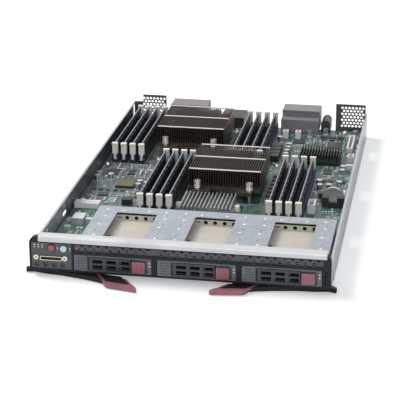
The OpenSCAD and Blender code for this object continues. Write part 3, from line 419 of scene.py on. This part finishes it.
class Piece:
    """Collects boxes, rods and plates, in millimetres from the blade's corner, into one object."""

    def __init__(self, name, slots):
        self.name, self.slots = name, slots
        self.points, self.faces, self.marks = [], [], []

    def poly(self, points, faces, mark=0):
        start = len(self.points)
        self.points += [at(*p) for p in points]
        self.faces += [[start + i for i in f] for f in faces]
        self.marks += [mark] * len(faces)

    def box(self, a, b, mark=0):
        (x0, y0, z0), (x1, y1, z1) = a, b
        p = [(x0, y0, z0), (x1, y0, z0), (x1, y1, z0), (x0, y1, z0),
             (x0, y0, z1), (x1, y0, z1), (x1, y1, z1), (x0, y1, z1)]
        self.poly(p, [[3, 2, 1, 0], [4, 5, 6, 7], [0, 1, 5, 4], [1, 2, 6, 5], [2, 3, 7, 6], [3, 0, 4, 7]],
                  mark)

    def rod(self, centre, axis, length, r0, r1=None, sides=20, mark=0):
        r1 = r0 if r1 is None else r1
        axis = Vector(axis).normalized()
        side = axis.orthogonal().normalized()
        up = axis.cross(side)
        c = Vector(centre)
        ring = lambda p, r: [p + (side * math.cos(a) + up * math.sin(a)) * r
                             for a in (2 * math.pi * k / sides for k in range(sides))]
        p = ring(c, r0) + ring(c + axis * length, r1)
        f = [[k, (k + 1) % sides, sides + (k + 1) % sides, sides + k] for k in range(sides)]
        f += [list(range(sides))[::-1], list(range(sides, 2 * sides))]
        self.poly(p, f, mark)

    def washer(self, centre, r0, r1, thick, mark=0, sides=40):
        """Flat ring that faces the front."""
        c = Vector(centre)
        points, faces = [], []
        for dy in (0, thick):
            for r in (r0, r1):
                for k in range(sides):
                    a = 2 * math.pi * k / sides
                    points.append((c.x + r * math.cos(a), c.y + dy, c.z + r * math.sin(a)))
        for k in range(sides):
            m = (k + 1) % sides
            for a, b in ((0, 1), (1, 3), (3, 2), (2, 0)):
                faces.append([a * sides + k, a * sides + m, b * sides + m, b * sides + k])
        self.poly(points, faces, mark)

    def dome(self, centre, radius, height, mark=0, sides=18, rings=4):
        """Low rounded rivet head or pressed boss, seen from above."""
        x, y, z = centre
        points = [(x, y, z + height)]
        faces = []
        for r in range(1, rings + 1):
            t = math.pi / 2 * r / rings
            for k in range(sides):
                a = 2 * math.pi * k / sides
                points.append((x + radius * math.sin(t) * math.cos(a), y + radius * math.sin(t) * math.sin(a),
                               z + height * math.cos(t)))
        for k in range(sides):
            faces.append([0, 1 + k, 1 + (k + 1) % sides])
            for r in range(rings - 1):
                a = 1 + r * sides
                b = a + sides
                faces.append([a + k, b + k, b + (k + 1) % sides, a + (k + 1) % sides])
        self.poly(points, faces, mark)

    def frame_line(self, x0, y0, x1, y1, z, w=0.25, h=0.05, mark=0):
        self.box((x0, y0, z), (x1, y0 + w, z + h), mark)
        self.box((x0, y1 - w, z), (x1, y1, z + h), mark)
        self.box((x0, y0 + w, z), (x0 + w, y1 - w, z + h), mark)
        self.box((x1 - w, y0 + w, z), (x1, y1 - w, z + h), mark)

    def finish(self, body="blade", replaces=(), bevel=0.0, smooth=False):
        mesh = bpy.data.meshes.new(self.name)
        mesh.from_pydata([tuple(p) for p in self.points], [], self.faces)
        for s in self.slots:
            mesh.materials.append(MATERIALS[s])
        mesh.polygons.foreach_set("material_index", self.marks)
        mesh.validate()
        mesh.update()
        ob = bpy.data.objects.new(self.name, mesh)
        scene.collection.objects.link(ob)
        if bevel:
            mod = ob.modifiers.new("edges", "BEVEL")
            mod.width = bevel / 1000
            mod.segments = 2
            mod.limit_method = "ANGLE"
            mod.angle_limit = math.radians(40)
        if smooth:
            mesh.shade_smooth()
            mesh.set_sharp_from_angle(angle=math.radians(35))
        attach(ob, body)
        if replaces:
            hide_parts(*replaces)
        return ob


MATERIALS["solder_silver"] = turned("solder_silver", (0.74, 0.75, 0.77), 0.3)
MATERIALS["gold_contact"] = turned("gold_contact", (0.78, 0.58, 0.26), 0.26)
MATERIALS["ceramic_tan"] = plastic("ceramic_tan", (0.42, 0.33, 0.24), 0.4, edge=0.0)
MATERIALS["ceramic_grey"] = plastic("ceramic_grey", (0.34, 0.35, 0.36), 0.4, edge=0.0)
MATERIALS["resistor_black"] = plastic("resistor_black", (0.02, 0.02, 0.022), 0.4, edge=0.0)
MATERIALS["print_white"] = plastic("print_white", (0.70, 0.72, 0.72), 0.5, spread=0.05, edge=0.0, dust=0.0)
MATERIALS["chip_olive"] = plastic("chip_olive", (0.11, 0.11, 0.05), 0.4)
MATERIALS["light_green"] = plastic("light_green", (0.12, 0.55, 0.22), 0.25, spread=0.03, dust=0.0)
MATERIALS["ring_teal"] = plastic("ring_teal", (0.018, 0.085, 0.125), 0.3, dust=0.0)
MATERIALS["ring_red"] = plastic("ring_red", (0.10, 0.020, 0.030), 0.3, dust=0.0)
# painted shade: black for blocks set where there is only shade, behind the carrier windows and the grille
MATERIALS["painted_shade_black"] = plastic("painted_shade_black", (0.010, 0.011, 0.012), 0.9, 300, 0.0004, gloss=0.1)
# painted shade: dark grey for a sheet on the left wall where there is only shade
MATERIALS["painted_shade_grey"] = plastic("painted_shade_grey", (0.055, 0.064, 0.066), 0.30, spread=0.2, dust=0.02)
# painted light: light grey for the top edges of the module boards, standing for light falling on them
MATERIALS["painted_top_light"] = plastic("painted_top_light", (0.27, 0.27, 0.32), 0.5, spread=0.1, edge=0.0)

BANKS = {"a": (75, 155), "b": (209.5, 155), "c": (13.5, 307.5), "d": (148.3, 307.5)}
PITCH, MODULE_L, MODULE_H, MODULE_T = 10.16, 133.35, 18.75, 1.27
CAGE_TOP = 26.5
BAY_X0, BAY_PITCH, CARRIER_W = 80.8, 80.4, 75.0


def modules():
    """Sixteen very low profile modules with chips on both faces, small parts and gold contacts."""
    p = Piece("memory_modules_dressed", ["module_board", "chip_black", "gold_contact", "solder_silver",
                                         "painted_top_light"])
    z0 = TOP + 4
    for x0, y0 in BANKS.values():
        for k in range(4):
            x = x0 + k * PITCH
            half, edge = MODULE_T / 2, z0 + MODULE_H - 0.35
            p.box((x - half, y0, z0), (x + half, y0 + MODULE_L, edge), 0)
            # top strip of each module: the board's top edge, drawn lighter as painted light on it
            p.box((x - half, y0, edge), (x + half, y0 + MODULE_L, z0 + MODULE_H), 4)
            for c in range(9):
                y = y0 + 4.6 + c * 14.1 + (1.2 if c > 3 else 0)
                p.box((x + MODULE_T / 2, y, z0 + 4.4), (x + MODULE_T / 2 + 1.1, y + 9.6, z0 + 15.6), 1)
                p.box((x - MODULE_T / 2 - 1.1, y, z0 + 4.4), (x - MODULE_T / 2, y + 9.6, z0 + 15.6), 1)
                for s in (-1, 1):
                    for j in range(3):
                        yy = y + 10.6 + j * 0.9
                        xx = x + s * MODULE_T / 2
                        a, b = sorted((xx, xx + s * 0.4))
                        p.box((a, yy, z0 + 6), (b, yy + 0.5, z0 + 7), 3)
                        p.box((a, yy, z0 + 12), (b, yy + 0.5, z0 + 13), 3)
            for j in range(60):
                y = y0 + 4 + j * 2.1
                if abs(y - y0 - 61) > 1.6:
                    for s in (-1, 1):
                        xx = x + s * MODULE_T / 2
                        a, b = sorted((xx, xx + s * 0.05))
                        p.box((a, y, z0 + 3), (b, y + 1.3, z0 + 4.2), 2)
    p.finish(replaces=["memory_modules"])


# Places on the system board that larger parts take, as x0, y0, x1, y1.
TAKEN = [(x - 5, y - 8, x + 3 * PITCH + 5, y + MODULE_L + 8) for x, y in BANKS.values()]
TAKEN += [(113, 196, 194, 298), (52, 330, 133, 432), (107, 143, 180, 194), (219, 326, 268, 368),
          (257, 199, 284, 212), (47, 438, 96, 457), (184, 438, 233, 457), (96, 445, 142, 457),
          (232, 445, 246, 457), (26, 218, 56, 246), (244, 386, 266, 408), (10, 260, 28, 278),
          (34, 262, 46, 278), (203, 398, 221, 414), (248, 298, 262, 316), (262, 234, 280, 246),
          (56, 194, 68, 206), (16, 194, 32, 206), (195, 220, 205, 292), (134, 350, 144, 422),
          (251, 275, 280, 283), (6, 211, 46, 217), (235, 415, 266, 431), (66, 304, 114, 328),
          (184, 328, 210, 382), (251, 224, 278, 236), (48, 172, 62, 186), (1, 156, 31, 170),
          (272, 338, 283, 354), (189, 414, 214, 426), (244, 178, 256, 200), (64, 182, 72, 198),
          (272, 316, 285, 324), (268, 374, 279, 426)]
for x, y in [(50, 134), (279, 140), (6, 182), (118, 206), (200, 206), (279, 250), (60, 320), (196, 320),
             (6, 296), (281.5, 400), (134, 436), (20, 452), (262, 450), (8, 240), (8, 250), (22, 246),
             (58, 220), (58, 230), (66, 226), (252, 250), (262, 252), (272, 262), (250, 264), (272, 300),
             (272, 312), (240, 440), (222, 430), (190, 402), (276, 436)]:
    TAKEN.append((x - 4.6, y - 4.6, x + 4.6, y + 4.6))
# The same for the front board.
IO_TAKEN = [(4, 6, 38, 27), (11, 111, 25, 129), (25, 115, 34, 123), (4, 117, 11, 124), (7, 95, 15, 102),
            (6.5, 58.5, 23.5, 75.5), (24.5, 60.5, 37.5, 73.5), (34, 99, 39, 146), (6, 133, 26, 138),
            (2, 40, 10, 48), (32, 40, 40, 48), (32, 144, 40, 152), (2, 144, 10, 152)]


def small_parts():
    """Rows of chip resistors and capacitors on the free places of both boards."""
    p = Piece("board_passives", ["solder_silver", "ceramic_tan", "resistor_black", "ceramic_grey",
                                 "header_white", "light_green"])

    def free(taken, x0, y0, x1, y1):
        return not any(x0 < d and x1 > a and y0 < e and y1 > b for a, b, d, e in taken)

    def part(x, y, along_x, size, mark, z):
        l, w, h = size
        e = l * 0.22
        dx, dy = (l / 2, w / 2) if along_x else (w / 2, l / 2)
        if along_x:
            p.box((x - dx, y - dy, z), (x - dx + e, y + dy, z + h), 0)
            p.box((x + dx - e, y - dy, z), (x + dx, y + dy, z + h), 0)
            p.box((x - dx + e, y - dy * 0.94, z), (x + dx - e, y + dy * 0.94, z + h * 0.94), mark)
        else:
            p.box((x - dx, y - dy, z), (x + dx, y - dy + e, z + h), 0)
            p.box((x - dx, y + dy - e, z), (x + dx, y + dy, z + h), 0)
            p.box((x - dx * 0.94, y - dy + e, z), (x + dx * 0.94, y + dy - e, z + h * 0.94), mark)

    taken, io_taken = list(TAKEN), list(IO_TAKEN)
    fields = [((44, 130, 286, 455), 2300, TOP, taken), ((3, 172, 60, 300), 900, TOP, taken),
              ((244, 168, 285, 330), 700, TOP, taken), ((134, 296, 214, 376), 500, TOP, taken),
              ((3, 30, 39, 154), 420, TOP, io_taken), ((195, 366, 285, 440), 1100, TOP, taken)]
    sizes = [((1.6, 0.8, 0.5), 2), ((1.6, 0.8, 0.8), 1), ((2.0, 1.25, 1.0), 1), ((3.2, 1.6, 1.3), 1),
             ((1.0, 0.5, 0.4), 2), ((2.0, 1.25, 0.6), 2), ((3.4, 2.8, 1.6), 3), ((2.4, 2.0, 1.2), 4),
             ((4.4, 1.4, 0.4), 5)]
    for (x0, y0, x1, y1), tries, z, busy in fields:
        for _ in range(tries // 5):
            cx, cy = rng.uniform(x0, x1), rng.uniform(y0, y1)
            along = rng.random() < 0.5
            size, mark = rng.choice(sizes)
            step = size[1] + rng.choice((0.5, 0.8, 1.2))
            for k in range(rng.randint(2, 9)):
                x = cx + (0 if along else k * step)
                y = cy + (k * step if along else 0)
                dx, dy = (size[0] / 2, size[1] / 2) if along else (size[1] / 2, size[0] / 2)
                spot = (x - dx - 0.3, y - dy - 0.3, x + dx + 0.3, y + dy + 0.3)
                if spot[0] < x0 or spot[2] > x1 or spot[1] < y0 or spot[3] > y1 or not free(busy, *spot):
                    continue
                if busy is taken and y < 164 and x < 44.5:
                    continue
                busy.append(spot)
                part(x, y, along, size, mark, z)
    p.finish()


def chip_leads():
    """Leads round the gull wing packages, a dimple on each, and printed outlines."""
    leads = Piece("chip_leads", ["solder_silver"])
    marks = Piece("board_print", ["print_white"])
    tops = Piece("chip_tops", ["chip_olive", "chip_black", "solder_silver"])
    quads = [(246, 388, 264, 406, 1.6), (12, 262, 26, 276, 1.4), (36, 264, 44, 276, 1.2),
             (205, 400, 219, 412, 1.4), (250, 300, 260, 314, 1.2), (264, 236, 278, 244, 1.4),
             (58, 196, 66, 204, 1.2), (18, 196, 30, 204, 1.2), (8, 60, 22, 74, 1.4), (26, 62, 36, 72, 1.4)]
    for x0, y0, x1, y1, h in quads:
        mid = TOP + h * 0.5
        for s, x in ((-1, x0), (1, x1)):
            for j in range(int((y1 - y0 - 1.2) / 0.8)):
                y = y0 + 0.8 + j * 0.8
                a, b = sorted((x, x + s * 0.5))
                c, d = sorted((x + s * 0.35, x + s * 1.1))
                leads.box((a, y, mid), (b, y + 0.35, mid + 0.16))
                leads.box((c, y, TOP), (d, y + 0.35, TOP + 0.16))
                e, f = sorted((x + s * 0.35, x + s * 0.5))
                leads.box((e, y, TOP), (f, y + 0.35, mid))
        if x1 - x0 > 9 and y1 - y0 > 9:
            for s, y in ((-1, y0), (1, y1)):
                for j in range(int((x1 - x0 - 1.2) / 0.8)):
                    x = x0 + 0.8 + j * 0.8
                    a, b = sorted((y, y + s * 0.5))
                    c, d = sorted((y + s * 0.35, y + s * 1.1))
                    leads.box((x, a, mid), (x + 0.35, b, mid + 0.16))
                    leads.box((x, c, TOP), (x + 0.35, d, TOP + 0.16))
        tops.rod((x0 + 1.5, y0 + 1.5, TOP + h), (0, 0, 1), 0.05, 0.5, sides=12, mark=2)
        marks.frame_line(x0 - 1.8, y0 - 1.8, x1 + 1.8, y1 + 1.8, TOP, 0.22)
    # metal lid of the graphics controller
    tops.box((33.2, 223.2, TOP + 2.2), (50.8, 240.8, TOP + 2.7), 0)
    marks.frame_line(30, 220, 54, 244, TOP, 0.25)
    for x, y in BANKS.values():
        marks.frame_line(x - 4.4, y - 7.4, x + 3 * PITCH + 4.4, y + MODULE_L + 7.4, TOP, 0.3)
        for k in range(3):
            xx = x + (k + 0.5) * PITCH
            marks.box((xx - 0.12, y - 5, TOP), (xx + 0.12, y + MODULE_L + 5, TOP + 0.05))
    outlines = [(113, 196, 194, 298), (52, 330, 133, 432), (219, 326, 268, 368), (107, 143, 180, 194)]
    for x0, y0, x1, y1 in outlines:
        marks.frame_line(x0, y0, x1, y1, TOP, 0.35)
    leads.finish()
    marks.finish()
    tops.finish(bevel=0.08)


def panel_details():
    """Marks and small lights of the control panel, and lights of the carriers."""
    p = Piece("panel_marks", ["print_white", "light_green", "button_blue"])
    y = 0.8
    for k, x in enumerate((5, 9, 12.8)):
        p.rod((x, y + 0.5, 31.6), (0, -1, 0), 0.35, 0.75, sides=16, mark=0)
        p.box((x - 0.9, y - 0.06, 29.4), (x + 0.9, y, 29.8))
        p.box((x - 0.5, y - 0.06, 28.6), (x + 0.5, y, 29.0))
    for x in (27.6, 39.6):
        p.rod((x, y + 0.5, 29.2), (0, -1, 0), 0.35, 0.75, sides=16, mark=0)
        p.box((x - 0.8, y - 0.06, 26.8), (x + 0.8, y, 27.1))
    p.finish()
    ring = Piece("button_rings", ["ring_red", "ring_teal"])
    ring.washer((21.7, 1.42, 29.2), 3.36, 4.2, 0.12, 0)
    ring.washer((33.6, 1.42, 29.2), 3.16, 4.0, 0.12, 1)
    ring.finish(smooth=True)
    # dark inside of the console connector, with its contacts on the tongue
    q = Piece("console_contacts", ["receptacle_black", "gold_contact"])
    x0, x1, z0, z1 = 11.3, 31.1, 17.15, 19.95
    q.box((x0, 4.6, z0), (x1, 4.95, z1))
    q.box((x0, -0.3, z0), (x1, 4.6, z0 + 0.12))
    q.box((x0, -0.3, z1 - 0.12), (x1, 4.6, z1))
    q.box((x0, -0.3, z0 + 0.12), (x0 + 0.12, 4.6, z1 - 0.12))
    q.box((x1 - 0.12, -0.3, z0 + 0.12), (x1, 4.6, z1 - 0.12))
    q.box((12.2, 0.9, 18.12), (30.1, 4.6, 18.98))
    for k in range(15):
        q.box((12.9 + k * 1.15, 1.2, 18.95), (13.4 + k * 1.15, 4.4, 19.04), 1)
    q.finish()
    for i in range(3):
        q = Piece("carrier_lights_%d" % (i + 1), ["light_green", "print_white"])
        x1 = BAY_X0 + BAY_PITCH * i + CARRIER_W / 2
        q.rod((x1 - 2, 0.62, 19.4), (0, -1, 0), 0.12, 0.8, sides=16, mark=1)
        q.rod((x1 - 2, 0.62, 16.4), (0, -1, 0), 0.12, 0.8, sides=16, mark=1)
        q.finish(body="carrier_%d" % (i + 1))
        # black block behind the windows of the carrier: painted shade, not a real filter
        f = Piece("carrier_filter_%d" % (i + 1), ["painted_shade_black"])
        x0 = x1 - CARRIER_W
        f.box((x0 + 16.5, 7.02, 8.2), (x0 + 57.2, 8.2, 22.6))
        f.finish(body="carrier_%d" % (i + 1), bevel=0.3)


def connector_contacts():
    p = Piece("connector_contacts", ["gold_contact", "solder_silver"])
    for x0 in (49, 186):
        for c in range(7):
            for r in range(4):
                x = x0 + 4 + c * (45 - 3) / 7
                z = TOP + 4.7 + r * 4.8
                p.box((x - 0.3, 471.5, z - 0.9), (x + 0.3, 479, z + 0.9), 0)
    for k in range(3):
        x = 117.1 + k * 8.6
        p.box((x - 0.5, 465, TOP + 3.4), (x + 0.5, 477, TOP + 9.6), 0)
    for x in (191, 206):
        for j in range(3):
            p.box((x + 2.9, 418.2 + j * 1.5, TOP + 2.4), (x + 3.5, 418.8 + j * 1.5, TOP + 7.6), 0)
    for j in range(5):
        p.box((277.2, 342.4 + j * 1.7, TOP + 2), (277.8, 343 + j * 1.7, TOP + 7), 0)
    for j in range(7):
        for x in (249.1, 250.5):
            p.box((x, 182.4 + j * 2, TOP + 2.4), (x + 0.5, 182.9 + j * 2, TOP + 8.2), 0)
    for j in range(30):
        for x in (272.7, 273.9):
            p.box((x, 379 + j * 1.4, TOP + 2), (x + 0.4, 379.5 + j * 1.4, TOP + 5), 0)
    p.finish()


def sink_springs():
    """Springs round the heatsink screws."""
    p = Piece("sink_springs", ["screw_steel"])
    for cx, cy in ((153.6, 254), (92.6, 388)):
        for s in (-1, 1):
            for dy in (-48.5, 34.5):
                x, y = cx + s * 28, cy + dy
                turns, per, wire = 4, 20, 0.45
                rings = []
                for k in range(turns * per + 1):
                    a = 2 * math.pi * k / per
                    c = Vector((x + 3.5 * math.cos(a), y + 3.5 * math.sin(a), 20.2 + 4.9 * k / (turns * per)))
                    out = Vector((math.cos(a), math.sin(a), 0))
                    rings.append([c + out * wire * math.cos(b) + Vector((0, 0, 1)) * wire * math.sin(b)
                                  for b in (2 * math.pi * j / 6 for j in range(6))])
                points = [q for r in rings for q in r]
                faces = [[i * 6 + j, i * 6 + (j + 1) % 6, (i + 1) * 6 + (j + 1) % 6, (i + 1) * 6 + j]
                         for i in range(len(rings) - 1) for j in range(6)]
                p.poly(points, faces)
    p.finish(smooth=True)


def cage_details():
    """Pressed bosses and rivets on the cage's top in bright steel, partly a painted highlight; a black strip
    behind the lip, painted shade; and a dark grey sheet on the left wall, painted shade.
    """
    # raised domes in bright steel: real bosses and rivets, their brightness partly a painted highlight for
    # the glints on the cage's dimples
    p = Piece("cage_rivets_painted_highlight", ["screw_steel"])
    for cx in (40.6, 121, 201.4, 281.8):
        for dx in (-10, 10):
            if not 46 < cx + dx < 276:
                continue
            for y in (32, 46, 74, 96, 114):
                p.dome((cx + dx + (1.6 if y in (46, 96) else 0), y, CAGE_TOP), 1.5, 0.55)
    for cx in (BAY_X0, BAY_X0 + BAY_PITCH, BAY_X0 + 2 * BAY_PITCH):
        for dx in (-14, 12):
            p.dome((cx + dx, 113, CAGE_TOP), 1.3, 0.5)
    p.finish(smooth=True)
    # black strip on the cage top behind the lip: painted shade that keeps the grille holes dark
    f = Piece("lip_painted_shade_strip", ["painted_shade_black"])
    f.box((44.8, 9.2, CAGE_TOP), (281.6, 23, CAGE_TOP + 1))
    f.finish(bevel=0.3)
    # dark grey sheet on the inner left wall: painted shade, not a real film
    w = Piece("left_wall_painted_shade", ["painted_shade_grey"])
    w.box((0.82, 132, 1.2), (1.0, 454, 28))
    w.finish()


modules()
small_parts()
chip_leads()
panel_details()
connector_contacts()
sink_springs()
cage_details()
